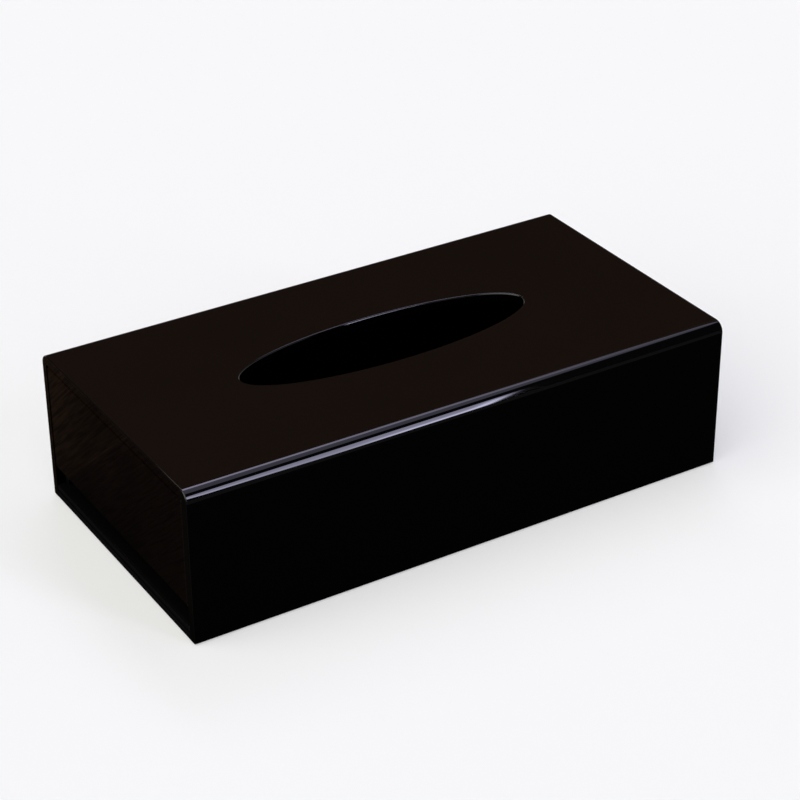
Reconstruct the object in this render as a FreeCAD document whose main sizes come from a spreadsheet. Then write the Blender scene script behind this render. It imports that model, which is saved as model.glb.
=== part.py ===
"""Acrylic tissue box with a sliding drawer, as a parametric FreeCAD document.

The box is a sleeve and a drawer, both glued up from cast acrylic sheet.  The sleeve's top,
front and back are one sheet, hot-bent along its two long edges, with an elliptical slot in
the top.  A base panel and one end panel close it.  The drawer's front panel closes the other
end.  It hangs between the drawer's sides and stops short of the drawer floor, which leaves a
finger gap to pull the drawer by.

Frame: X along the box, with the drawer front at -X; Y across it; +Z up.  The origin is at the
middle of the plane that the anti-slip pads stand on.  All sizes are millimetres.
"""
import FreeCAD, Part
import os

import Sketcher

# Name in the sheet, size in millimetres, what it measures.
DRIVING_SIZES = [
    ("case_length", 260.0, "sleeve, end to end"),
    ("case_width", 134.0, "sleeve, outside front to outside back"),
    ("case_height", 70.0, "sleeve, lower edge to top face"),
    ("sheet_thickness", 4.0, "bent sheet of the sleeve"),
    ("bend_inside_radius", 0.8, "inside radius of the two hot bends"),
    ("slot_length", 140.0, "long axis of the tissue slot"),
    ("slot_width", 39.5, "short axis of the tissue slot"),
    ("slot_bevel", 0.7, "bevel round the slot's upper rim"),
    ("base_thickness", 3.0, "base panel of the sleeve"),
    ("end_thickness", 4.0, "closed end panel of the sleeve"),
    ("arris", 0.6, "polished bevel on the cut edges"),
    ("foot_diameter", 10.0, "anti-slip pads"),
    ("foot_thickness", 0.8, "anti-slip pads, which lift the case this far"),
    ("foot_round", 0.3, "rounding of a pad's lower rim"),
    ("foot_inset", 16.0, "outer faces of the sleeve to a pad's centre"),
    ("drawer_sheet", 3.0, "floor, sides and back of the drawer"),
    ("front_thickness", 4.0, "drawer front panel"),
    ("drawer_depth", 38.0, "drawer sides and back, above the drawer floor"),
    ("finger_gap", 9.2, "drawer floor to the lower edge of the drawer front"),
    ("side_clearance", 0.5, "drawer to the inside of the sleeve, each side"),
    ("floor_clearance", 0.3, "drawer floor above the sleeve's base"),
    ("top_clearance", 0.8, "drawer front under the sleeve's top sheet"),
    ("back_clearance", 0.5, "closed drawer to the closed end panel"),
]

# Lengths and levels that several pieces share, worked out from the driving sizes.
INNER_WIDTH = "(Sizes.case_width - 2 * Sizes.sheet_thickness)"
BEND_OUTSIDE_RADIUS = "(Sizes.bend_inside_radius + Sizes.sheet_thickness)"
OPEN_END = "(-Sizes.case_length / 2)"
CLOSED_END = "(Sizes.case_length / 2)"
BASE_TOP = "(Sizes.foot_thickness + Sizes.base_thickness)"
CEILING = "(Sizes.foot_thickness + Sizes.case_height - Sizes.sheet_thickness)"

DRAWER_WIDTH = f"({INNER_WIDTH} - 2 * Sizes.side_clearance)"
DRAWER_LENGTH = "(Sizes.case_length - Sizes.end_thickness - Sizes.back_clearance)"
DRAWER_REAR = f"({OPEN_END} + {DRAWER_LENGTH})"
FRONT_INSIDE = f"({OPEN_END} + Sizes.front_thickness)"
FLOOR_UNDERSIDE = f"({BASE_TOP} + Sizes.floor_clearance)"
FLOOR_TOP = f"({FLOOR_UNDERSIDE} + Sizes.drawer_sheet)"
FRONT_BOTTOM = f"({FLOOR_TOP} + Sizes.finger_gap)"
FRONT_TOP = f"({CEILING} - Sizes.top_clearance)"

TOUCH = 1e-4            # how near counts as lying in a plane

doc = FreeCAD.newDocument("tissue_box")
sizes = doc.addObject("Spreadsheet::Sheet", "Sizes")
for row, (name, value, meaning) in enumerate(DRIVING_SIZES, start=1):
    sizes.set(f"A{row}", name)
    sizes.set(f"B{row}", str(value))
    sizes.set(f"C{row}", meaning)
    sizes.setAlias(f"B{row}", name)
doc.recompute()

pieces = []


# ---- drawing helpers ------------------------------------------------------------------

def new_body(label, centre):
    """An empty body whose origin is at the point that three expressions give."""
    body = doc.addObject("PartDesign::Body", label)
    body.Label = label
    for axis, expression in zip("xyz", centre):
        body.setExpression(f"Placement.Base.{axis}", expression)
    pieces.append(body)
    return body


def sketch_on(body, role):
    """A sketch on one of the body's own origin planes, named by its role."""
    plane = next(item for item in body.Origin.OriginFeatures if item.Role == role)
    sketch = body.newObject("Sketcher::SketchObject", f"{body.Label}_sketch")
    sketch.AttachmentSupport = [(plane, "")]
    sketch.MapMode = "FlatFace"
    return sketch


def add_dimension(sketch, constraint, name, expression):
    """Adds a named dimension to the sketch and drives it by an expression."""
    index = sketch.addConstraint(constraint)
    sketch.renameConstraint(index, name)
    sketch.setExpression(f"Constraints.{name}", expression)


def draw_rectangle(sketch, across, up):
    """A rectangle centred on the sketch's origin, sized by two expressions."""
    half = 10.0
    corners = [(-half, -half), (half, -half), (half, half), (-half, half)]
    points = [FreeCAD.Vector(x, y, 0) for x, y in corners]
    for side in range(4):
        sketch.addGeometry(Part.LineSegment(points[side], points[(side + 1) % 4]), False)
    for side in range(4):
        sketch.addConstraint(Sketcher.Constraint("Coincident", side, 2, (side + 1) % 4, 1))
    for side, run in enumerate(("Horizontal", "Vertical", "Horizontal", "Vertical")):
        sketch.addConstraint(Sketcher.Constraint(run, side))
    sketch.addConstraint(Sketcher.Constraint("Symmetric", 0, 1, 2, 1, -1, 1))
    add_dimension(sketch, Sketcher.Constraint("DistanceX", 0, 1, 0, 2, 2 * half), "across", across)
    add_dimension(sketch, Sketcher.Constraint("DistanceY", 1, 1, 1, 2, 2 * half), "up", up)


def pad_both_ways(body, sketch, thickness):
    """Pads the sketch by half the thickness to each side of its plane."""
    pad = body.newObject("PartDesign::Pad", f"{body.Label}_pad")
    pad.Profile = sketch
    pad.SideType = "Symmetric"
    pad.setExpression("Length", thickness)
    doc.recompute()


def names_where(kind, shapes, wanted):
    """FreeCAD's names, such as Edge3, of the edges or faces for which wanted is true."""
    names = [f"{kind}{number}" for number, item in enumerate(shapes, start=1) if wanted(item)]
    if not names:
        raise ValueError(f"no {kind.lower()} found")
    return names


def bevel_edges(body, wanted, size):
    """Chamfers the wanted edges of the body as built so far."""
    base = body.Tip
    chamfer = body.newObject("PartDesign::Chamfer", f"{body.Label}_bevel")
    chamfer.Base = (base, names_where("Edge", base.Shape.Edges, wanted))
    chamfer.setExpression("Size", size)
    doc.recompute()


def round_edges(body, wanted, radius):
    """Fillets the wanted edges of the body as built so far."""
    base = body.Tip
    fillet = body.newObject("PartDesign::Fillet", f"{body.Label}_round")
    fillet.Base = (base, names_where("Edge", base.Shape.Edges, wanted))
    fillet.setExpression("Radius", radius)
    doc.recompute()


def runs_along(item, axis):
    """True if the edge or face has any length along the axis."""
    return getattr(item.BoundBox, f"{axis.upper()}Length") > TOUCH


def lies_at(item, axis, level):
    """True if the whole edge or face lies in the plane axis = level."""
    low = getattr(item.BoundBox, f"{axis.upper()}Min")
    return abs(low - level) < TOUCH and not runs_along(item, axis)


def panel(label, plane, across, up, thickness, centre):
    """A flat sheet, centred on its own origin: a rectangle padded by its thickness."""
    body = new_body(label, centre)
    sketch = sketch_on(body, plane)
    draw_rectangle(sketch, across, up)
    pad_both_ways(body, sketch, thickness)
    return body


def halfway(low, high):
    """The expression for the middle of two levels."""
    return f"(({low} + {high}) / 2)"


# ---- the sleeve -----------------------------------------------------------------------

def make_cover_shell():
    """Top, front and back: one sheet, hot-bent along two edges, with the tissue slot."""
    sleeve_top = "(Sizes.foot_thickness + Sizes.case_height)"
    body = new_body("cover_shell", ("0", "0", halfway("Sizes.foot_thickness", sleeve_top)))
    bend_block(body)
    hollow_to_sheet(body)
    cut_tissue_slot(body)
    polish_sleeve_ends(body)


def bend_block(body):
    """The sleeve's outside as a solid block, rounded along its two long upper edges."""
    profile = sketch_on(body, "YZ_Plane")
    draw_rectangle(profile, "Sizes.case_width", "Sizes.case_height")
    pad_both_ways(body, profile, "Sizes.case_length")
    top = body.Tip.Shape.BoundBox.ZMax
    round_edges(body, lambda edge: runs_along(edge, "x") and lies_at(edge, "z", top),
                BEND_OUTSIDE_RADIUS)


def hollow_to_sheet(body):
    """Leaves one sheet's thickness at top, front and back, and opens the rest."""
    block = body.Tip
    bottom = block.Shape.BoundBox.ZMin
    hollow = body.newObject("PartDesign::Thickness", "bent_sheet")
    hollow.Base = (block, names_where("Face", block.Shape.Faces, lambda face: (
        lies_at(face, "z", bottom) or not runs_along(face, "x"))))
    hollow.Reversed = True
    hollow.Join = "Intersection"
    hollow.setExpression("Value", "Sizes.sheet_thickness")
    doc.recompute()


def cut_tissue_slot(body):
    """The elliptical slot, cut up through the top sheet, with a bevel round its upper rim."""
    sketch = sketch_on(body, "XY_Plane")
    centre = FreeCAD.Vector(0, 0, 0)
    long_end = FreeCAD.Vector(60, 0, 0)
    short_end = FreeCAD.Vector(0, 20, 0)
    sketch.addGeometry(Part.Ellipse(long_end, short_end, centre), False)
    sketch.exposeInternalGeometry(0)
    sketch.addConstraint(Sketcher.Constraint("Coincident", 0, 3, -1, 1))
    sketch.addConstraint(Sketcher.Constraint("Horizontal", 1))
    add_dimension(sketch, Sketcher.Constraint("Distance", 1, 120.0), "long_axis",
                  "Sizes.slot_length")
    add_dimension(sketch, Sketcher.Constraint("Distance", 2, 40.0), "short_axis",
                  "Sizes.slot_width")
    uncut_volume = body.Tip.Shape.Volume
    slot = body.newObject("PartDesign::Pocket", "tissue_slot")
    slot.Profile = sketch
    slot.Type = "ThroughAll"
    slot.Reversed = True
    doc.recompute()
    if slot.Shape.Volume > uncut_volume - 1:
        raise ValueError("the tissue slot cuts nothing")
    top = slot.Shape.BoundBox.ZMax
    bevel_edges(body, lambda edge: (lies_at(edge, "z", top)
                                    and not isinstance(edge.Curve, Part.Line)), "Sizes.slot_bevel")


def polish_sleeve_ends(body):
    """Bevels the outer edges of the sheet's two sawn ends."""
    box = body.Tip.Shape.BoundBox
    bend_radius = sizes.bend_inside_radius + sizes.sheet_thickness

    def on_outside(edge):
        flat = (lies_at(edge, "z", box.ZMax) or lies_at(edge, "y", box.YMin)
                or lies_at(edge, "y", box.YMax))
        bent = (isinstance(edge.Curve, Part.Circle)
                and abs(edge.Curve.Radius - bend_radius) < TOUCH)
        return flat or bent

    bevel_edges(body, lambda edge: not runs_along(edge, "x") and on_outside(edge), "Sizes.arris")


def make_base_panel():
    """Lies between the sleeve's front and back, flush with their lower edges."""
    body = panel("base_panel", "XY_Plane", "Sizes.case_length", INNER_WIDTH,
                 "Sizes.base_thickness", ("0", "0", halfway("Sizes.foot_thickness", BASE_TOP)))
    box = body.Tip.Shape.BoundBox
    bevel_edges(body, lambda edge: (runs_along(edge, "y") and lies_at(edge, "x", box.XMin)
                                    and lies_at(edge, "z", box.ZMax)), "Sizes.arris")


def make_closed_end_panel():
    """Stands on the base inside the sleeve, its upper corners bedded in the bends."""
    body = panel("closed_end_panel", "YZ_Plane", INNER_WIDTH, f"({CEILING} - {BASE_TOP})",
                 "Sizes.end_thickness",
                 (f"({CLOSED_END} - Sizes.end_thickness / 2)", "0", halfway(BASE_TOP, CEILING)))
    top = body.Tip.Shape.BoundBox.ZMax
    round_edges(body, lambda edge: runs_along(edge, "x") and lies_at(edge, "z", top),
                "Sizes.bend_inside_radius")


def make_foot_pads():
    """Four self-adhesive pads under the base panel, one near each corner."""
    for side_name, side in (("front", "-1"), ("back", "1")):
        for end_name, end in (("left", "-1"), ("right", "1")):
            centre = (f"({end} * (Sizes.case_length / 2 - Sizes.foot_inset))",
                      f"({side} * (Sizes.case_width / 2 - Sizes.foot_inset))",
                      "Sizes.foot_thickness / 2")
            body = new_body(f"foot_pad_{side_name}_{end_name}", centre)
            sketch = sketch_on(body, "XY_Plane")
            sketch.addGeometry(Part.Circle(FreeCAD.Vector(0, 0, 0), FreeCAD.Vector(0, 0, 1), 5.0),
                               False)
            sketch.addConstraint(Sketcher.Constraint("Coincident", 0, 3, -1, 1))
            add_dimension(sketch, Sketcher.Constraint("Diameter", 0, 10.0), "diameter",
                          "Sizes.foot_diameter")
            pad_both_ways(body, sketch, "Sizes.foot_thickness")
            underside = body.Tip.Shape.BoundBox.ZMin
            round_edges(body, lambda edge: lies_at(edge, "z", underside), "Sizes.foot_round")


# ---- the drawer -----------------------------------------------------------------------

def make_drawer_floor():
    """Slides on the base; its bare front edge is flush with the sleeve's open end."""
    body = panel("drawer_floor", "XY_Plane", DRAWER_LENGTH, DRAWER_WIDTH, "Sizes.drawer_sheet",
                 (halfway(OPEN_END, DRAWER_REAR), "0", halfway(FLOOR_UNDERSIDE, FLOOR_TOP)))
    front = body.Tip.Shape.BoundBox.XMin
    bevel_edges(body, lambda edge: runs_along(edge, "y") and lies_at(edge, "x", front),
                "Sizes.arris")


def make_drawer_front():
    """Closes the sleeve's end down to the finger gap; glued on the ends of the two sides."""
    body = panel("drawer_front", "YZ_Plane", DRAWER_WIDTH, f"({FRONT_TOP} - {FRONT_BOTTOM})",
                 "Sizes.front_thickness",
                 (halfway(OPEN_END, FRONT_INSIDE), "0", halfway(FRONT_BOTTOM, FRONT_TOP)))
    block = body.Tip.Shape.BoundBox
    round_edges(body, lambda edge: runs_along(edge, "x") and lies_at(edge, "z", block.ZMax),
                "(Sizes.bend_inside_radius + Sizes.side_clearance)")
    bevel_edges(body, lambda edge: lies_at(edge, "x", block.XMin), "Sizes.arris")


def make_drawer_sides():
    """Two long walls on the floor's edges, from the front panel to the drawer's rear."""
    for side_name, side in (("front", "-1"), ("back", "1")):
        across = f"({side} * ({DRAWER_WIDTH} - Sizes.drawer_sheet) / 2)"
        body = panel(f"drawer_side_{side_name}", "XZ_Plane", f"({DRAWER_REAR} - {FRONT_INSIDE})",
                     "Sizes.drawer_depth", "Sizes.drawer_sheet",
                     (halfway(FRONT_INSIDE, DRAWER_REAR), across,
                      f"({FLOOR_TOP} + Sizes.drawer_depth / 2)"))
        top = body.Tip.Shape.BoundBox.ZMax
        bevel_edges(body, lambda edge: runs_along(edge, "x") and lies_at(edge, "z", top),
                    "Sizes.arris")


def make_drawer_back():
    """Stands on the floor between the two sides, flush with their ends."""
    body = panel("drawer_back", "YZ_Plane", f"({DRAWER_WIDTH} - 2 * Sizes.drawer_sheet)",
                 "Sizes.drawer_depth", "Sizes.drawer_sheet",
                 (f"({DRAWER_REAR} - Sizes.drawer_sheet / 2)", "0",
                  f"({FLOOR_TOP} + Sizes.drawer_depth / 2)"))
    top = body.Tip.Shape.BoundBox.ZMax
    bevel_edges(body, lambda edge: runs_along(edge, "y") and lies_at(edge, "z", top),
                "Sizes.arris")


# ---- build, check and write -----------------------------------------------------------

def check_model():
    """Stops if a feature failed or a piece is not one valid solid."""
    for item in doc.Objects:
        if "Invalid" in item.State or "Error" in item.State:
            raise ValueError(f"{item.Label} failed: {item.State}")
    for piece in pieces:
        shape = piece.Shape
        if shape.isNull() or not shape.isValid() or len(shape.Solids) != 1:
            raise ValueError(f"{piece.Label} is not one valid solid")


def write_parts():
    """Writes each piece to parts/LABEL.step and prints its volume and box."""
    os.makedirs("parts", exist_ok=True)
    for piece in pieces:
        piece.Shape.exportStep(f"parts/{piece.Label}.step")
        box = piece.Shape.BoundBox
        print(f"{piece.Label:22s} {piece.Shape.Volume / 1000:8.2f} cm3  "
              f"x {box.XMin:.2f}..{box.XMax:.2f}  y {box.YMin:.2f}..{box.YMax:.2f}  "
              f"z {box.ZMin:.2f}..{box.ZMax:.2f}")


make_cover_shell()
make_base_panel()
make_closed_end_panel()
make_foot_pads()
make_drawer_floor()
make_drawer_front()
make_drawer_sides()
make_drawer_back()
doc.recompute()
check_model()
write_parts()
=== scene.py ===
"""Gloss black acrylic tissue box with a drawer: finishes, floor, light and camera.

The CAD frame gives every piece its place.  The bent cover is modelled again here with finer
bends and a rounded slot rim.  The flat panels keep the frame's shapes and get polished edges;
the pads are the frame's own nodes.
All lengths are metres, X along the box, drawer front at -X, Z up.
"""
import math

import bmesh
import bpy
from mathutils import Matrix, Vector


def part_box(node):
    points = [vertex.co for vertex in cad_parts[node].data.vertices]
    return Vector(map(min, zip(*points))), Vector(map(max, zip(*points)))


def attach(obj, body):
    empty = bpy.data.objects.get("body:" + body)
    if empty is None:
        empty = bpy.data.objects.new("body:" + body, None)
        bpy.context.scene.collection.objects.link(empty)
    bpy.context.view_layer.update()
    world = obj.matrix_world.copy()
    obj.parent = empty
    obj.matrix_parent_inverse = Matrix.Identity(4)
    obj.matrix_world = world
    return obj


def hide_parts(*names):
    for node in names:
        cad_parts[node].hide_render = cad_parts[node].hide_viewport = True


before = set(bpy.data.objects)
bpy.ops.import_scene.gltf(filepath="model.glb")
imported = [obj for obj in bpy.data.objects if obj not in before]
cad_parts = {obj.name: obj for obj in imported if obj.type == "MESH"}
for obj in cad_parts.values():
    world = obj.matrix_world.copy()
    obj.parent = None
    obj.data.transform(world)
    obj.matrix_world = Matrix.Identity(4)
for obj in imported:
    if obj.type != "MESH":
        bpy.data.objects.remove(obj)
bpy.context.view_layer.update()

MM = 0.001

# Sizes of the bent cover that its box in the frame doesn't give.
SHEET = 4.0 * MM
BEND_INSIDE = 0.8 * MM
SLOT_LENGTH = 140.0 * MM
SLOT_WIDTH = 39.5 * MM
SLOT_ROUNDING = 0.7 * MM
ARRIS = 0.6 * MM
PANEL_ARRIS = 0.15 * MM

SLOT_POINTS = 192           # round the slot; a multiple of 8 puts one at each corner of the top
BEND_STEPS = 24
RIM_STEPS = 4
ARRIS_STEPS = 3
WALL_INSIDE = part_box("cover_shell")[0].y + SHEET
SHARP_ANGLE = math.radians(35)
FLAT_ANGLE = math.radians(0.5)
SAME_LEVEL = MM / 100       # nearer than this lies in one plane
SAME_POINT = MM / 1000      # nearer than this is one corner


# ---- node helpers ---------------------------------------------------------------------

def add_node(tree, kind, **values):
    """A node with its plain properties set, and its input sockets set by name."""
    node = tree.nodes.new(kind)
    for name, value in values.items():
        if hasattr(node, name):
            setattr(node, name, value)
        else:
            node.inputs[name.replace("_", " ")].default_value = value
    return node


def math_node(tree, operation, first, second=None, third=None, clamp=False):
    """One maths step; each operand is a socket or a number."""
    node = tree.nodes.new("ShaderNodeMath")
    node.operation = operation
    node.use_clamp = clamp
    for index, operand in enumerate((first, second, third)):
        if operand is None:
            continue
        if isinstance(operand, (int, float)):
            node.inputs[index].default_value = operand
        else:
            tree.links.new(operand, node.inputs[index])
    return node.outputs[0]


def ramp_between(tree, value, low, high):
    """0 at low, 1 at high, smooth between; low may lie above high."""
    node = tree.nodes.new("ShaderNodeMapRange")
    node.interpolation_type = "SMOOTHSTEP"
    node.inputs["From Min"].default_value = min(low, high)
    node.inputs["From Max"].default_value = max(low, high)
    if low > high:
        node.inputs["To Min"].default_value = 1.0
        node.inputs["To Max"].default_value = 0.0
    tree.links.new(value, node.inputs["Value"])
    return node.outputs["Result"]


def dimmed(tree, mask, least):
    """1 where the mask is 1, and the least value where it is 0."""
    return math_node(tree, "MULTIPLY_ADD", mask, 1.0 - least, least)


def product_of(tree, *masks):
    """The product of several masks."""
    product = masks[0]
    for mask in masks[1:]:
        product = math_node(tree, "MULTIPLY", product, mask)
    return product


def vector_node(tree, operation, *operands):
    """One step of vector maths; each operand is a socket or a tuple."""
    node = tree.nodes.new("ShaderNodeVectorMath")
    node.operation = operation
    for index, operand in enumerate(operands):
        if isinstance(operand, tuple):
            node.inputs[index].default_value = operand
        else:
            tree.links.new(operand, node.inputs[index])
    return node.outputs[0]


def mix_colour(tree, mask, first, second):
    """Blends two colours by a mask; each colour is a socket or an RGBA tuple."""
    node = tree.nodes.new("ShaderNodeMix")
    node.data_type = "RGBA"
    tree.links.new(mask, node.inputs["Factor"])
    for socket, colour in (("A", first), ("B", second)):
        target = next(item for item in node.inputs if item.name == socket and item.type == "RGBA")
        if isinstance(colour, tuple):
            target.default_value = colour
        else:
            tree.links.new(colour, target)
    return next(item for item in node.outputs if item.type == "RGBA")


def object_place(tree):
    """The object coordinates: places in the box's own frame, in metres."""
    return tree.nodes.new("ShaderNodeTexCoord").outputs["Object"]


def split_axes(tree, vector):
    """The three parts of a vector."""
    split = tree.nodes.new("ShaderNodeSeparateXYZ")
    tree.links.new(vector, split.inputs[0])
    return tuple(split.outputs[axis] for axis in "XYZ")


def facing(tree):
    """The three parts of the surface normal: rightward, toward the back and up."""
    return split_axes(tree, tree.nodes.new("ShaderNodeNewGeometry").outputs["Normal"])


def noise(tree, vector, scale, detail=2.0, roughness=0.5, distortion=0.0, output=0):
    """Noise over a vector; its scale is a socket or a number."""
    node = add_node(tree, "ShaderNodeTexNoise", Detail=detail, Roughness=roughness,
                    Distortion=distortion)
    tree.links.new(vector, node.inputs["Vector"])
    if isinstance(scale, (int, float)):
        node.inputs["Scale"].default_value = scale
    else:
        tree.links.new(scale, node.inputs["Scale"])
    return node.outputs[output]


def new_group(name, inputs, outputs):
    """An empty node group with named sockets: inputs are (name, default), outputs names."""
    tree = bpy.data.node_groups.new(name, "ShaderNodeTree")
    for socket_name, default in inputs:
        socket = tree.interface.new_socket(socket_name, in_out="INPUT",
                                           socket_type="NodeSocketFloat")
        socket.default_value = default
    for socket_name in outputs:
        tree.interface.new_socket(socket_name, in_out="OUTPUT", socket_type="NodeSocketFloat")
    entry = tree.nodes.new("NodeGroupInput")
    leave = tree.nodes.new("NodeGroupOutput")
    return tree, entry.outputs, leave.inputs


def place_group(tree, group, **values):
    """Puts a node group into a material with its own input values."""
    node = tree.nodes.new("ShaderNodeGroup")
    node.node_tree = group
    for name, value in values.items():
        node.inputs[name.replace("_", " ")].default_value = value
    return node.outputs


# ---- effects that several materials share ---------------------------------------------

NOISE_MEAN = 0.5

# Weights of the clear gloss, by the way that a face looks.
COVER_EDGE_COAT = 1.0       # the cover's bends and bevels
PANEL_EDGE_COAT = 0.6
FRONT_EDGE_COAT = 0.05      # bevels round the drawer front
TOP_COAT = 0.05             # the top mirrors the room only faintly
FRONT_COAT = 0.012
END_COAT = 0.006            # the drawer end hardly at all
COVER_BROAD_COAT = 0.25     # back, far end and inside
PANEL_BROAD_COAT = 0.40
LOWER_BEND_COAT = 0.08      # added where the front bend runs out into the front

# A face comes to count as the thing named between these two parts of its normal.
IS_LEVEL = (math.cos(math.radians(4)), math.cos(math.radians(1)))
IS_BEND = (math.cos(math.radians(74)), math.cos(math.radians(70)))
IS_LOWER_BEND = (0.005, 0.05)
IS_FRONT = (-0.35, -0.75)
IS_DRAWER_END = (-0.75, -0.95)
IS_CUT_END = (-0.6, -0.9)
UPWARD_TONE_FACING = (0.90, 0.995)

UPWARD_TONE_DEPTH = 0.88           # how far the even brown tone covers the black
UPWARD_TONE_DETAIL = 4.0

HAIRLINE_WANDER_SCALE = 9.0
HAIRLINE_WANDER = (6 * MM, 6 * MM, 6 * MM)
HAIRLINE_FINENESS = 10.0
HAIRLINE_CONTRAST = 12.0

HAZE_DETAIL = 5.0
HAZE_BREAKUP = 0.6
HAZE_RANGE = (0.48, 0.70)

# Painted reflection of a grained surface on the drawer end.  Each kind of streak: scale, and the
# noise where it starts and is full.
GRAIN_TURN = math.radians(140)
GRAIN_STRETCH = 22.0        # length of a streak over its width
GRAIN_DETAIL = 1.5
GRAIN_DISTORTION = 0.15
UPPER_STREAKS = (0.85, 0.30, 0.68)
LOWER_STREAKS = (0.95, 0.34, 0.64)
STREAK_WEIGHT = 0.66
GROUND_WEIGHT = 0.30        # between the streaks
PATCH_RANGE = (0.30, 0.70)
PATCH_LEAST = 0.6
LINE_SLOPE = 0.81           # rise toward the front over run
LINE_LEVEL = 58.0 * MM      # height of the slanting line at the middle of the end
LINE_BLEND = 2.0 * MM       # over which one kind of streak gives way to the other
LINE_EDGE = (1.1 * MM, 0.3 * MM)
LINE_WEIGHT = 0.42

# Painted fall of light and painted shade over the reflected streaks on the end, by height and by
# place from front (-) to back.
FOOT_TO_TOP = (0.0, 75 * MM)
FOOT_LEAST = 0.45
CLOSE_TO_FRONT = (-20 * MM, -60 * MM)
FRONT_TO_BACK = (-30 * MM, 75 * MM)
FRONT_LEAST = 0.46
SHADE_HEIGHT = (37 * MM, 15 * MM)
SHADE_FRONT_EDGE = (-35 * MM, -10 * MM)
SHADE_BACK_EDGE = (58 * MM, 42 * MM)
SHADE_DEPTH = 0.55


def make_polish_by_facing():
    """Weight of the clear gloss: most on bends and bevels that look upward, less on flat
    faces, and least on the top, the front and the drawer end."""
    tree, entry, leave = new_group("polish_by_facing",
                                   [("Broad", COVER_BROAD_COAT), ("Top", TOP_COAT),
                                    ("Front", FRONT_COAT), ("End", END_COAT),
                                    ("Edge", COVER_EDGE_COAT)], ["Weight"])
    right, back, up = facing(tree)
    level = ramp_between(tree, up, *IS_LEVEL)
    front = ramp_between(tree, back, *IS_FRONT)
    end = ramp_between(tree, right, *IS_DRAWER_END)
    off_level = math_node(tree, "SUBTRACT", 1.0, level)
    edge = math_node(tree, "MULTIPLY", off_level, ramp_between(tree, up, *IS_BEND))

    def toward(weight, mask, value):
        """Moves the weight to a value, as far as the mask says."""
        change = math_node(tree, "SUBTRACT", value, weight)
        return math_node(tree, "MULTIPLY_ADD", change, mask, weight)

    lower_bend = ramp_between(tree, up, *IS_LOWER_BEND)
    front_gloss = math_node(tree, "MULTIPLY_ADD", lower_bend, LOWER_BEND_COAT, entry["Front"])
    weight = toward(entry["Broad"], front, front_gloss)
    weight = toward(weight, level, entry["Top"])
    weight = toward(weight, edge, entry["Edge"])
    tree.links.new(toward(weight, end, entry["End"]), leave["Weight"])
    return tree


def make_upward_tone():
    """A browner black on surfaces that face up, slightly cloudy."""
    tree, entry, leave = new_group("upward_tone", [("Cloud Scale", 14.0), ("Unevenness", 0.2)],
                                   ["Mask"])
    level = ramp_between(tree, facing(tree)[2], *UPWARD_TONE_FACING)
    cloud = noise(tree, object_place(tree), entry["Cloud Scale"], detail=UPWARD_TONE_DETAIL)
    swing = math_node(tree, "SUBTRACT", cloud, NOISE_MEAN)
    swing = math_node(tree, "MULTIPLY", swing, entry["Unevenness"])
    film = math_node(tree, "ADD", swing, UPWARD_TONE_DEPTH)
    tree.links.new(math_node(tree, "MULTIPLY", level, film, clamp=True), leave["Mask"])
    return tree


def make_hairlines():
    """Fine wiping scratches: a mask of thin broken lines along the box."""
    tree, entry, leave = new_group("hairlines", [("Line Scale", 60.0), ("Stretch", 0.03),
                                                 ("Rarity", 0.70)], ["Mask"])
    place = object_place(tree)
    wander = noise(tree, place, HAIRLINE_WANDER_SCALE, output="Color")
    bent = vector_node(tree, "MULTIPLY_ADD", wander, HAIRLINE_WANDER, place)
    squeeze = add_node(tree, "ShaderNodeCombineXYZ", Y=1.0, Z=1.0)
    tree.links.new(entry["Stretch"], squeeze.inputs["X"])
    stretched = vector_node(tree, "MULTIPLY", bent, squeeze.outputs[0])
    scale = math_node(tree, "MULTIPLY", entry["Line Scale"], HAIRLINE_FINENESS)
    above = math_node(tree, "SUBTRACT", noise(tree, stretched, scale), entry["Rarity"])
    lines = math_node(tree, "MULTIPLY", above, HAIRLINE_CONTRAST, clamp=True)
    tree.links.new(lines, leave["Mask"])
    return tree


def make_handling_haze():
    """Soft patches where the gloss is dulled a little by handling."""
    tree, entry, leave = new_group("handling_haze", [("Patch Scale", 18.0)], ["Mask"])
    patches = noise(tree, object_place(tree), entry["Patch Scale"], detail=HAZE_DETAIL,
                    roughness=HAZE_BREAKUP)
    tree.links.new(ramp_between(tree, patches, *HAZE_RANGE), leave["Mask"])
    return tree


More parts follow.
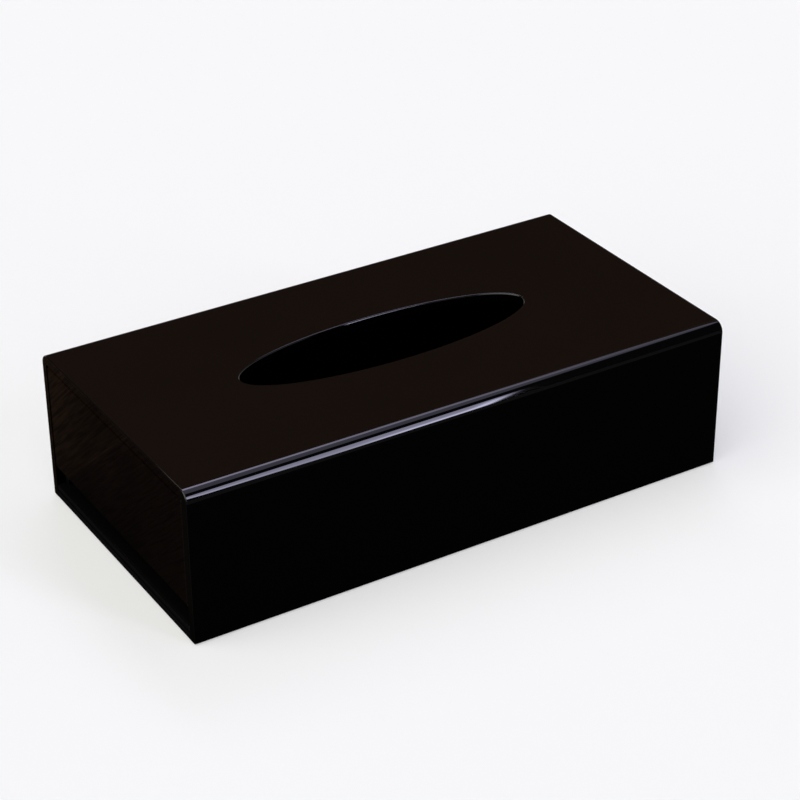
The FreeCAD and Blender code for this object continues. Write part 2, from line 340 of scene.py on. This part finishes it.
def make_painted_grain_reflection():
    """Painted reflection of a grained surface on the upright drawer end: fine broken streaks that
    rise toward the front.

    They are coarser and lighter above a thin slanting line, which falls from near the middle
    of the top edge to the foot of the back."""
    tree, entry, leave = new_group("painted_grain_reflection", [("Streak Scale", 1150.0),
                                                      ("Patch Scale", 26.0)], ["Mask", "Upper"])
    place = object_place(tree)
    _, back, height = split_axes(tree, place)

    def streaks(scale_factor, start, full):
        """Noise stretched along the grain, as a mask from no streak to a full one."""
        along = add_node(tree, "ShaderNodeMapping", vector_type="TEXTURE",
                         Rotation=(GRAIN_TURN, 0, 0), Scale=(1.0, GRAIN_STRETCH, 1.0))
        tree.links.new(place, along.inputs["Vector"])
        scale = math_node(tree, "MULTIPLY", entry["Streak Scale"], scale_factor)
        texture = noise(tree, along.outputs[0], scale, detail=GRAIN_DETAIL,
                        distortion=GRAIN_DISTORTION)
        return ramp_between(tree, texture, start, full)

    slant = math_node(tree, "MULTIPLY_ADD", back, LINE_SLOPE, height)
    upper = ramp_between(tree, slant, LINE_LEVEL - LINE_BLEND, LINE_LEVEL + LINE_BLEND)
    off_line = math_node(tree, "ABSOLUTE", math_node(tree, "SUBTRACT", slant, LINE_LEVEL))
    line = ramp_between(tree, off_line, *LINE_EDGE)
    coarse = math_node(tree, "MULTIPLY", streaks(*UPPER_STREAKS), upper)
    below = math_node(tree, "SUBTRACT", 1.0, upper)
    grain = math_node(tree, "MULTIPLY_ADD", streaks(*LOWER_STREAKS), below, coarse)
    grain = math_node(tree, "MULTIPLY_ADD", grain, STREAK_WEIGHT, GROUND_WEIGHT)
    patches = ramp_between(tree, noise(tree, place, entry["Patch Scale"]), *PATCH_RANGE)
    grain = math_node(tree, "MULTIPLY", grain, dimmed(tree, patches, PATCH_LEAST))
    grain = math_node(tree, "MULTIPLY_ADD", line, LINE_WEIGHT, grain)

    # Painted light and shade: brightest at the back, dimmer toward the floor except close to the
    # front, with a painted shade low in the middle.
    toward_top = dimmed(tree, ramp_between(tree, height, *FOOT_TO_TOP), FOOT_LEAST)
    upward = math_node(tree, "MAXIMUM", toward_top, ramp_between(tree, back, *CLOSE_TO_FRONT))
    toward_back = dimmed(tree, ramp_between(tree, back, *FRONT_TO_BACK), FRONT_LEAST)
    painted_foot_shade = product_of(tree, ramp_between(tree, back, *SHADE_FRONT_EDGE),
                            ramp_between(tree, back, *SHADE_BACK_EDGE),
                            ramp_between(tree, height, *SHADE_HEIGHT))
    out_of_painted_shade = math_node(tree, "MULTIPLY_ADD", painted_foot_shade, -SHADE_DEPTH, 1.0)
    painted_fall_of_light = product_of(tree, upward, toward_back, out_of_painted_shade)
    tree.links.new(math_node(tree, "MULTIPLY", grain, painted_fall_of_light), leave["Mask"])
    tree.links.new(upper, leave["Upper"])
    return tree


POLISH_BY_FACING = make_polish_by_facing()
PAINTED_GRAIN_REFLECTION = make_painted_grain_reflection()
UPWARD_TONE = make_upward_tone()
HAIRLINES = make_hairlines()
HANDLING_HAZE = make_handling_haze()


# ---- materials ------------------------------------------------------------------------

# Linear colours.
TOP_BLACK = (0.0095, 0.0058, 0.0042, 1)
DEEP_BLACK = (0.0004, 0.0003, 0.0003, 1)
PANEL_BLACK = (0.0026, 0.0026, 0.0026, 1)
CUT_WALL = (0.0018, 0.0014, 0.0011, 1)
# Painted light: panel faces that look toward the open end are paler.
PAINTED_OPEN_END_LIGHT = (0.0029, 0.0026, 0.0027, 1)
FRONT_DARK = (0.0009, 0.0005, 0.0003, 1)
# Two tones of a painted reflection of a grained surface on the drawer end.
PAINTED_REFLECTION_UPPER = (0.0122, 0.0068, 0.0040, 1)
PAINTED_REFLECTION_LOWER = (0.0088, 0.0046, 0.0033, 1)
RUBBER_DARK = (0.018, 0.018, 0.019, 1)
RUBBER_PALE = (0.035, 0.035, 0.036, 1)
PAPER_DARK = (0.925, 0.925, 0.92, 1)
PAPER_PALE = (0.94, 0.94, 0.935, 1)
PAPER_WHITE = (1.0, 1.0, 1.0, 1)
PAPER_LIFT = 0.32           # low enough that the box keeps its contact shadow

ACRYLIC_IOR = 1.49
GLOSS_ROUGHNESS = 0.03
HAZE_ROUGHNESS = 0.04
LINE_ROUGHNESS = 0.10
PANEL_UNEVENNESS = 0.4
RUBBER_ROUGHNESS = 0.8
SPECKLE_SCALE = 900.0
SPECKLE_DETAIL = 3.0
MOTTLE_SCALE = 3.0
MOTTLE_DETAIL = 3.0

WALL_BLEND = 0.3 * MM       # between the front wall's cut end and the rest
# Painted shade: the front wall's cut end is darker toward its foot.
WALL_SHADE_HEIGHT = (8 * MM, 24 * MM)
WALL_SHADE_LEAST = 0.4
AT_OPEN_END = (-120 * MM, -125 * MM)


def new_material(name):
    """A material with an empty tree, its Principled shader and its output."""
    material = bpy.data.materials.new(name)
    material.use_nodes = True
    tree = material.node_tree
    tree.nodes.clear()
    shader = tree.nodes.new("ShaderNodeBsdfPrincipled")
    output = tree.nodes.new("ShaderNodeOutputMaterial")
    tree.links.new(shader.outputs[0], output.inputs["Surface"])
    return material, tree, shader


def polish(tree, shader, broad, top, front, edge):
    """Gloss shared by every acrylic: clean polish, hairlines, haze, and coated bends."""
    shader.inputs["IOR"].default_value = ACRYLIC_IOR
    shader.inputs["Specular IOR Level"].default_value = 0.0
    shader.inputs["Coat IOR"].default_value = ACRYLIC_IOR
    shader.inputs["Coat Roughness"].default_value = GLOSS_ROUGHNESS
    lines = place_group(tree, HAIRLINES)["Mask"]
    haze = place_group(tree, HANDLING_HAZE)["Mask"]
    rough = math_node(tree, "MULTIPLY_ADD", haze, HAZE_ROUGHNESS, GLOSS_ROUGHNESS)
    rough = math_node(tree, "MULTIPLY_ADD", lines, LINE_ROUGHNESS, rough)
    tree.links.new(rough, shader.inputs["Roughness"])
    weight = place_group(tree, POLISH_BY_FACING, Broad=broad, Top=top, Front=front,
                         End=END_COAT, Edge=edge)["Weight"]
    tree.links.new(weight, shader.inputs["Coat Weight"])


def end_colour_and_painted_reflection(tree):
    """Brown-black of the drawer end, with a painted reflection of a grained surface: fine streaks
    that rise toward the front, in patches, under painted light and shade.
    """
    # Painted reflection: reflected streaks in two tones over the dark brown-black ground, with
    # painted light and shade.
    grain = place_group(tree, PAINTED_GRAIN_REFLECTION)
    streak = mix_colour(tree, grain["Upper"], PAINTED_REFLECTION_LOWER, PAINTED_REFLECTION_UPPER)
    return mix_colour(tree, grain["Mask"], FRONT_DARK, streak)


def make_cover_acrylic():
    """Polished black sheet; the level top is a browner black, and the cut end carries the painted
    reflection of a grained surface and a painted shade at the front wall's foot.
    """
    material, tree, shader = new_material("cover_acrylic")
    polish(tree, shader, COVER_BROAD_COAT, TOP_COAT, FRONT_COAT, COVER_EDGE_COAT)
    up_tone = place_group(tree, UPWARD_TONE)["Mask"]
    faces = mix_colour(tree, up_tone, DEEP_BLACK, TOP_BLACK)
    across, back, height = split_axes(tree, object_place(tree))
    in_front_wall = ramp_between(tree, back, WALL_INSIDE + WALL_BLEND, WALL_INSIDE - WALL_BLEND)
    # Painted shade: the cut end of the front wall darkens toward its foot.
    out_of_painted_wall_shade = dimmed(tree, ramp_between(tree, height, *WALL_SHADE_HEIGHT), WALL_SHADE_LEAST)
    wall = mix_colour(tree, out_of_painted_wall_shade, DEEP_BLACK, CUT_WALL)
    cut_end = mix_colour(tree, in_front_wall, end_colour_and_painted_reflection(tree), wall)
    is_end = math_node(tree, "MULTIPLY", ramp_between(tree, facing(tree)[0], *IS_CUT_END),
                       ramp_between(tree, across, *AT_OPEN_END))
    tree.links.new(mix_colour(tree, is_end, faces, cut_end), shader.inputs["Base Color"])
    return material


def make_panel_acrylic():
    """Polished neutral black sheet of the flat panels, with painted light making it paler where it
    looks toward the open end.
    """
    material, tree, shader = new_material("panel_acrylic")
    polish(tree, shader, PANEL_BROAD_COAT, PANEL_BROAD_COAT, PANEL_BROAD_COAT, PANEL_EDGE_COAT)
    up_tone = place_group(tree, UPWARD_TONE, Unevenness=PANEL_UNEVENNESS)["Mask"]
    faces = mix_colour(tree, up_tone, DEEP_BLACK, PANEL_BLACK)
    # Painted light: faces that look toward the open end are painted paler.
    toward_open_end = ramp_between(tree, facing(tree)[0], *IS_CUT_END)
    tree.links.new(mix_colour(tree, toward_open_end, faces, PAINTED_OPEN_END_LIGHT),
                   shader.inputs["Base Color"])
    return material


def make_front_acrylic():
    """Dark brown-black sheet of the drawer front, with a faint painted reflection of a grained
    surface.
    """
    material, tree, shader = new_material("front_acrylic")
    polish(tree, shader, PANEL_BROAD_COAT, TOP_COAT, FRONT_COAT, FRONT_EDGE_COAT)
    tree.links.new(end_colour_and_painted_reflection(tree), shader.inputs["Base Color"])
    return material


def make_foot_rubber():
    """Matt dark grey rubber of the anti-slip pads."""
    material, tree, shader = new_material("foot_rubber")
    speckle = noise(tree, object_place(tree), SPECKLE_SCALE, detail=SPECKLE_DETAIL)
    tree.links.new(mix_colour(tree, speckle, RUBBER_DARK, RUBBER_PALE),
                   shader.inputs["Base Color"])
    shader.inputs["Roughness"].default_value = RUBBER_ROUGHNESS
    return material


def make_floor_paper():
    """Plain pale studio paper, lifted toward white where it is seen or mirrored.

    The lift adds no light to the box, and the paper keeps the box's shadow."""
    material, tree, shader = new_material("floor_paper")
    mottle = noise(tree, object_place(tree), MOTTLE_SCALE, detail=MOTTLE_DETAIL)
    tree.links.new(mix_colour(tree, mottle, PAPER_DARK, PAPER_PALE), shader.inputs["Base Color"])
    shader.inputs["Roughness"].default_value = 1.0
    shader.inputs["Specular IOR Level"].default_value = 0.0
    ray = tree.nodes.new("ShaderNodeLightPath").outputs
    seen = math_node(tree, "MAXIMUM", ray["Is Camera Ray"], ray["Is Glossy Ray"])
    seen = math_node(tree, "MAXIMUM", seen, ray["Is Transmission Ray"])
    white = add_node(tree, "ShaderNodeEmission", Color=PAPER_WHITE)
    lifted = tree.nodes.new("ShaderNodeMixShader")
    tree.links.new(math_node(tree, "MULTIPLY", seen, PAPER_LIFT), lifted.inputs[0])
    tree.links.new(shader.outputs[0], lifted.inputs[1])
    tree.links.new(white.outputs[0], lifted.inputs[2])
    output = next(node for node in tree.nodes if node.type == "OUTPUT_MATERIAL")
    tree.links.new(lifted.outputs[0], output.inputs["Surface"])
    return material


cover_acrylic = make_cover_acrylic()
panel_acrylic = make_panel_acrylic()
front_acrylic = make_front_acrylic()
foot_rubber = make_foot_rubber()


# ---- the bent cover -------------------------------------------------------------------

def build_cover_mesh():
    """One closed mesh: top with its slot, two bends and two walls, inside and outside."""
    low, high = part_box("cover_shell")
    bend_outside = BEND_INSIDE + SHEET
    flat_half = high.y - bend_outside
    bend_level = high.z - bend_outside
    mesh = bmesh.new()

    def top_ring(half_x, half_y, level, square):
        """Points round an ellipse, or round a rectangle whose corners fall on points."""
        ring = []
        for number in range(SLOT_POINTS):
            turn = 2 * math.pi * number / SLOT_POINTS
            reach = max(abs(math.cos(turn)), abs(math.sin(turn))) if square else 1.0
            ring.append(mesh.verts.new((half_x * math.cos(turn) / reach,
                                        half_y * math.sin(turn) / reach, level)))
        return ring

    def quad_strip(first, second):
        """Faces between two rows of points."""
        for index in range(len(first) - 1):
            mesh.faces.new((first[index], first[index + 1], second[index + 1], second[index]))

    def closed(ring):
        return ring + ring[:1]

    def skirt_rows(edge_row, side, radius):
        """From the flat's long edge round the bend and down the wall."""
        rows = [edge_row]
        for step in range(1, BEND_STEPS + 1):
            turn = math.pi / 2 * step / BEND_STEPS
            across = side * (flat_half + radius * math.sin(turn))
            rows.append([mesh.verts.new((vert.co.x, across, bend_level + radius * math.cos(turn)))
                         for vert in edge_row])
        rows.append([mesh.verts.new((vert.co.x, across, low.z)) for vert in edge_row])
        return rows

    eighth = SLOT_POINTS // 8
    layers = []
    for level, radius in ((high.z, bend_outside), (high.z - SHEET, BEND_INSIDE)):
        rim = top_ring(SLOT_LENGTH / 2, SLOT_WIDTH / 2, level, square=False)
        edge = top_ring(high.x, flat_half, level, square=True)
        quad_strip(closed(rim), closed(edge))
        skirts = [skirt_rows(edge[start:start + 2 * eighth + 1], side, radius)
                  for start, side in ((eighth, 1), (5 * eighth, -1))]
        for rows in skirts:
            for upper, lower in zip(rows, rows[1:]):
                quad_strip(upper, lower)
        layers.append((rim, edge, skirts))

    (outer_rim, outer_edge, outer_skirts), (inner_rim, inner_edge, inner_skirts) = layers
    quad_strip(closed(outer_rim), closed(inner_rim))
    for start in (-eighth, 3 * eighth):
        turn = [(start + index) % SLOT_POINTS for index in range(2 * eighth + 1)]
        quad_strip([outer_edge[index] for index in turn], [inner_edge[index] for index in turn])
    for outer_rows, inner_rows in zip(outer_skirts, inner_skirts):
        for column in (0, -1):
            quad_strip([row[column] for row in outer_rows], [row[column] for row in inner_rows])
        quad_strip(outer_rows[-1], inner_rows[-1])
    bmesh.ops.recalc_face_normals(mesh, faces=mesh.faces[:])

    outside = set(outer_edge)
    for rows in outer_skirts:
        for row in rows:
            outside.update(row)
    return mesh, set(outer_rim), outside


def bevel_cover_edges(mesh, rim, outside):
    """Rounds the slot's upper rim and takes the sharpness off the sawn ends."""
    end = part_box("cover_shell")[1].x

    def at_an_end(vert):
        return vert in outside and abs(abs(vert.co.x) - end) < SAME_LEVEL

    rim_edges = [edge for edge in mesh.edges if edge.verts[0] in rim and edge.verts[1] in rim]
    end_edges = [edge for edge in mesh.edges
                 if at_an_end(edge.verts[0]) and at_an_end(edge.verts[1])]
    for edges, offset, steps in ((rim_edges, SLOT_ROUNDING, RIM_STEPS),
                                 (end_edges, ARRIS, ARRIS_STEPS)):
        bmesh.ops.bevel(mesh, geom=edges, offset=offset, offset_type="OFFSET", segments=steps,
                        profile=0.5, affect="EDGES", clamp_overlap=True)


def finish_piece(mesh, name, material, slot, body, *nodes):
    """Smooth over bends and bevels, square at the rest; in place of its plainer nodes."""
    for face in mesh.faces:
        face.smooth = True
    for edge in mesh.edges:
        edge.smooth = len(edge.link_faces) == 2 and edge.calc_face_angle() < SHARP_ANGLE
    data = bpy.data.meshes.new(name)
    mesh.to_mesh(data)
    mesh.free()
    data.materials.append(material)
    piece = bpy.data.objects.new(name, data)
    bpy.context.scene.collection.objects.link(piece)
    weighted = piece.modifiers.new("flat_faces_stay_flat", "WEIGHTED_NORMAL")
    weighted.keep_sharp = True
    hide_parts(*nodes)
    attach(piece, body)


def make_cover():
    """The one-piece bent cover."""
    mesh, rim, outside = build_cover_mesh()
    bevel_cover_edges(mesh, rim, outside)
    finish_piece(mesh, "bent_cover", cover_acrylic, "cover_acrylic", "case", "cover_shell")


# ---- flat panels and pads -------------------------------------------------------------

def make_panel(name, material, slot, body, node):
    """A flat panel of the frame with its edges polished slightly round."""
    mesh = bmesh.new()
    mesh.from_mesh(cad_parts[node].data)
    bmesh.ops.remove_doubles(mesh, verts=mesh.verts[:], dist=SAME_POINT)
    bmesh.ops.dissolve_limit(mesh, angle_limit=FLAT_ANGLE, verts=mesh.verts[:],
                             edges=mesh.edges[:])
    edges = [edge for edge in mesh.edges
             if len(edge.link_faces) == 2 and edge.calc_face_angle() > SHARP_ANGLE]
    bmesh.ops.bevel(mesh, geom=edges, offset=PANEL_ARRIS, offset_type="OFFSET",
                    segments=ARRIS_STEPS, profile=0.5, affect="EDGES", clamp_overlap=True)
    finish_piece(mesh, name, material, slot, body, node)


make_cover()
make_panel("polished_base", panel_acrylic, "panel_acrylic", "case", "base_panel")
make_panel("polished_end", panel_acrylic, "panel_acrylic", "case", "closed_end_panel")
make_panel("polished_drawer_front", front_acrylic, "front_acrylic", "drawer", "drawer_front")
for part in ("floor", "side_front", "side_back", "back"):
    make_panel(f"polished_drawer_{part}", panel_acrylic, "panel_acrylic", "drawer",
               f"drawer_{part}")

for end in ("left", "right"):
    for side in ("front", "back"):
        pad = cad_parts[f"foot_pad_{side}_{end}"].data
        pad.materials.clear()
        pad.materials.append(foot_rubber)


# ---- floor, light and camera ----------------------------------------------------------

FLOOR_REACH = 8.0
FLOOR_CELLS = 8

KEY_STRENGTH = 2.54
KEY_SPREAD = math.radians(80)
KEY_PLACE = (-1.2, -0.5, 1.6)

COOL_WHITE = (0.80, 0.79, 1.08, 1)
WARM_WHITE = (1.0, 0.995, 0.95)
WARM_CARD = (1.0, 0.88, 0.80, 1)
PALE_WALLS = (0.80, 0.80, 0.80, 1)
ROOM = (0.13, 0.13, 0.13, 1)
BLACK_FLAG = (0.030, 0.028, 0.027, 1)

# The room is set out by direction from the box: as parts of a unit vector, or as across and
# along where the direction meets a ceiling one unit up.  In each pair the first value is where
# a thing has faded out, and the second where it is whole.
WALL_TOP = (0.16, 0.34)     # fades from the low walls into the room
LOWEST_RISE = 0.02          # keeps the ceiling's edge finite

# Softbox overhead, on that ceiling.
BOX_RIGHT = (0.76, 0.73)
BOX_LEFT = (0.22, 0.32)
BOX_FRONT = (-0.36, -0.30)
BOX_BACK = (1.50, 1.46)
BOX_BACK_SKEW = 1.125
BOX_CORNER = (1.86, 1.78)
BOX_CORNER_SKEW = 2.6
BOX_LEVEL = 0.95
BOX_RIM = (0.685, 0.71)
BOX_RIM_EXTRA = 0.35
BOX_BRIGHT_HALF = (1.00, 1.14)
BOX_BRIGHT_SKEW = 1.45
BOX_BRIGHT_FALL = -15.0
BOX_BRIGHT_START = 10.3

# Strip in front.  Its brighter parts have a pair for each edge, and then their extra light.
STRIP_NEAR = (-1.05, -1.13)
STRIP_FOOT = (0.0, 0.02)
STRIP_LEFT = (1.66, 1.70)
STRIP_LEFT_SKEW = 3.9
STRIP_RIGHT = (0.487, 0.480)
STRIP_RIGHT_SKEW = -0.02
STRIP_LEVEL = 4.7
STRIP_GLOW = 0.55           # over the height, so it grows toward the floor
STRIP_GLOW_LIFT = 0.05
FOOT_GLOW = ((0.425, 0.455), (0.30, 0.15), 6.0)
RIGHT_RIM = ((0.470, 0.479), (0.12, 0.20), (0.52, 0.42), 7.5)
LEFT_RIM = ((1.90, 1.78), (0.18, 0.30), 3.2)

# Small card behind.
CARD_BACK = ((0.779, 0.773), (0.70, 0.72))
CARD_ACROSS = ((-0.12, -0.06), (0.26, 0.20))
CARD_FOOT = (0.45, 0.55)

# Two black flags: one beside the box, set out rightward, and one behind it.
FLAG_BESIDE = ((0.28, 0.32), (0.64, 0.59))
FLAG_BEHIND = ((0.70, 0.75), (0.88, 0.83))


def make_floor():
    """A wide level sheet of paper under the box."""
    mesh = bmesh.new()
    bmesh.ops.create_grid(mesh, x_segments=FLOOR_CELLS, y_segments=FLOOR_CELLS,
                          size=FLOOR_REACH)
    data = bpy.data.meshes.new("studio_floor")
    mesh.to_mesh(data)
    mesh.free()
    data.materials.append(make_floor_paper())
    floor = bpy.data.objects.new("studio_floor", data)
    bpy.context.scene.collection.objects.link(floor)


def aim_at(thing, target):
    """Turns a lamp or camera to look at a point, level side to side."""
    toward = Vector(target) - thing.location
    thing.rotation_euler = toward.to_track_quat("-Z", "Y").to_euler()


def light_studio():
    """A broad soft key from the upper left."""
    key = bpy.data.lights.new("broad_key", "SUN")
    key.energy = KEY_STRENGTH
    key.angle = KEY_SPREAD
    key.color = WARM_WHITE
    lamp = bpy.data.objects.new("broad_key", key)
    lamp.location = KEY_PLACE
    aim_at(lamp, (0, 0, 0))
    bpy.context.scene.collection.objects.link(lamp)


def overhead_softbox(tree, across, along):
    """Strength of a softbox overhead, by where a direction meets a ceiling one unit up.

    Its back edge runs askew, its front right corner is cut off, its right rim is a little
    brighter, and its back half brightens toward the left."""
    back_edge = math_node(tree, "MULTIPLY_ADD", across, BOX_BACK_SKEW, along)
    minus_along = math_node(tree, "MULTIPLY", along, -1.0)
    cut_corner = math_node(tree, "MULTIPLY_ADD", across, BOX_CORNER_SKEW, minus_along)
    shape = product_of(tree, ramp_between(tree, back_edge, *BOX_BACK),
                       ramp_between(tree, across, *BOX_RIGHT),
                       ramp_between(tree, along, *BOX_FRONT),
                       ramp_between(tree, cut_corner, *BOX_CORNER),
                       ramp_between(tree, across, *BOX_LEFT))
    askew = math_node(tree, "MULTIPLY_ADD", across, BOX_BRIGHT_SKEW, along)
    extra = math_node(tree, "MULTIPLY_ADD", across, BOX_BRIGHT_FALL, BOX_BRIGHT_START)
    extra = math_node(tree, "MULTIPLY", math_node(tree, "MAXIMUM", extra, 0.0),
                      ramp_between(tree, askew, *BOX_BRIGHT_HALF))
    level = math_node(tree, "MULTIPLY_ADD", ramp_between(tree, across, *BOX_RIM),
                      BOX_RIM_EXTRA, BOX_LEVEL)
    return math_node(tree, "MULTIPLY", shape, math_node(tree, "ADD", extra, level))


def front_strip(tree, rightward, height, along):
    """Strength of the tall strip of light in front, brighter at its foot and its rims."""
    left_edge = math_node(tree, "MULTIPLY_ADD", rightward, STRIP_LEFT_SKEW, height)
    right_edge = math_node(tree, "MULTIPLY_ADD", height, STRIP_RIGHT_SKEW, rightward)
    shape = product_of(tree, ramp_between(tree, along, *STRIP_NEAR),
                       ramp_between(tree, left_edge, *STRIP_LEFT),
                       ramp_between(tree, right_edge, *STRIP_RIGHT),
                       ramp_between(tree, height, *STRIP_FOOT))
    level = math_node(tree, "DIVIDE", STRIP_GLOW,
                      math_node(tree, "ADD", height, STRIP_GLOW_LIFT))
    level = math_node(tree, "ADD", level, STRIP_LEVEL)
    for edges, (*fades, extra) in (((rightward, height), FOOT_GLOW),
                                   ((right_edge, height, height), RIGHT_RIM),
                                   ((left_edge, height), LEFT_RIM)):
        part = product_of(tree, *(ramp_between(tree, edge, *painted_fall_of_light)
                                  for edge, painted_fall_of_light in zip(edges, fades)))
        level = math_node(tree, "MULTIPLY_ADD", part, extra, level)
    return math_node(tree, "MULTIPLY", shape, level)


def window_of(tree, value, starts, ends):
    """A mask that is 1 between its start and its end, with soft edges."""
    return math_node(tree, "MULTIPLY", ramp_between(tree, value, *starts),
                     ramp_between(tree, value, *ends))


def corner_card(tree, rightward, back, height):
    """Strength of a small card behind, which only the front corner of the top catches."""
    return product_of(tree, window_of(tree, back, *CARD_BACK),
                      *(ramp_between(tree, rightward, *side) for side in CARD_ACROSS),
                      ramp_between(tree, height, *CARD_FOOT))


def black_flags(tree, rightward, back):
    """Where black flags keep the light off what the long bend and the end's arris mirror."""
    return math_node(tree, "MAXIMUM", window_of(tree, rightward, *FLAG_BESIDE),
                     window_of(tree, back, *FLAG_BEHIND))


def make_world():
    """A dim room: pale low walls, two black flags, a softbox overhead, a strip in front and a
    small card behind."""
    world = bpy.data.worlds.new("studio_room")
    bpy.context.scene.world = world
    world.use_nodes = True
    tree = world.node_tree
    tree.nodes.clear()
    direction = tree.nodes.new("ShaderNodeTexCoord").outputs["Generated"]
    rightward, back, height = split_axes(tree, direction)

    room = mix_colour(tree, ramp_between(tree, height, *WALL_TOP), PALE_WALLS, ROOM)
    room = mix_colour(tree, black_flags(tree, rightward, back), room, BLACK_FLAG)
    room_light = tree.nodes.new("ShaderNodeBackground")
    tree.links.new(room, room_light.inputs["Color"])

    rise = math_node(tree, "MAXIMUM", height, LOWEST_RISE)
    across = math_node(tree, "DIVIDE", rightward, rise)
    along = math_node(tree, "DIVIDE", back, rise)
    card = corner_card(tree, rightward, back, height)
    strength = math_node(tree, "ADD", overhead_softbox(tree, across, along),
                         front_strip(tree, rightward, height, along))
    lamps = tree.nodes.new("ShaderNodeBackground")
    tree.links.new(mix_colour(tree, card, COOL_WHITE, WARM_CARD), lamps.inputs["Color"])
    tree.links.new(math_node(tree, "ADD", strength, card), lamps.inputs["Strength"])

    both = tree.nodes.new("ShaderNodeAddShader")
    output = tree.nodes.new("ShaderNodeOutputWorld")
    tree.links.new(room_light.outputs[0], both.inputs[0])
    tree.links.new(lamps.outputs[0], both.inputs[1])
    tree.links.new(both.outputs[0], output.inputs["Surface"])


LENS = 104.258
SENSOR_WIDTH = 36.0
NEAREST, FARTHEST = 0.05, 50.0
CAMERA_PLACE = (-0.44948, -0.74679, 0.54154)
CAMERA_TARGET = (0.00696, 0.0, 0.03777)
CAMERA_ROLL = 0.00794       # radians, a hair off level


def place_camera():
    """Looks down on the drawer end and the long front."""
    data = bpy.data.cameras.new("view_camera")
    data.sensor_width = SENSOR_WIDTH
    data.lens = LENS
    data.clip_start = NEAREST
    data.clip_end = FARTHEST
    camera = bpy.data.objects.new("view_camera", data)
    camera.location = CAMERA_PLACE
    aim_at(camera, CAMERA_TARGET)
    camera.rotation_euler.rotate_axis("Z", -CAMERA_ROLL)
    bpy.context.scene.collection.objects.link(camera)
    bpy.context.scene.camera = camera


make_floor()
light_studio()
make_world()
place_camera()
bpy.context.scene.view_settings.view_transform = "Standard"
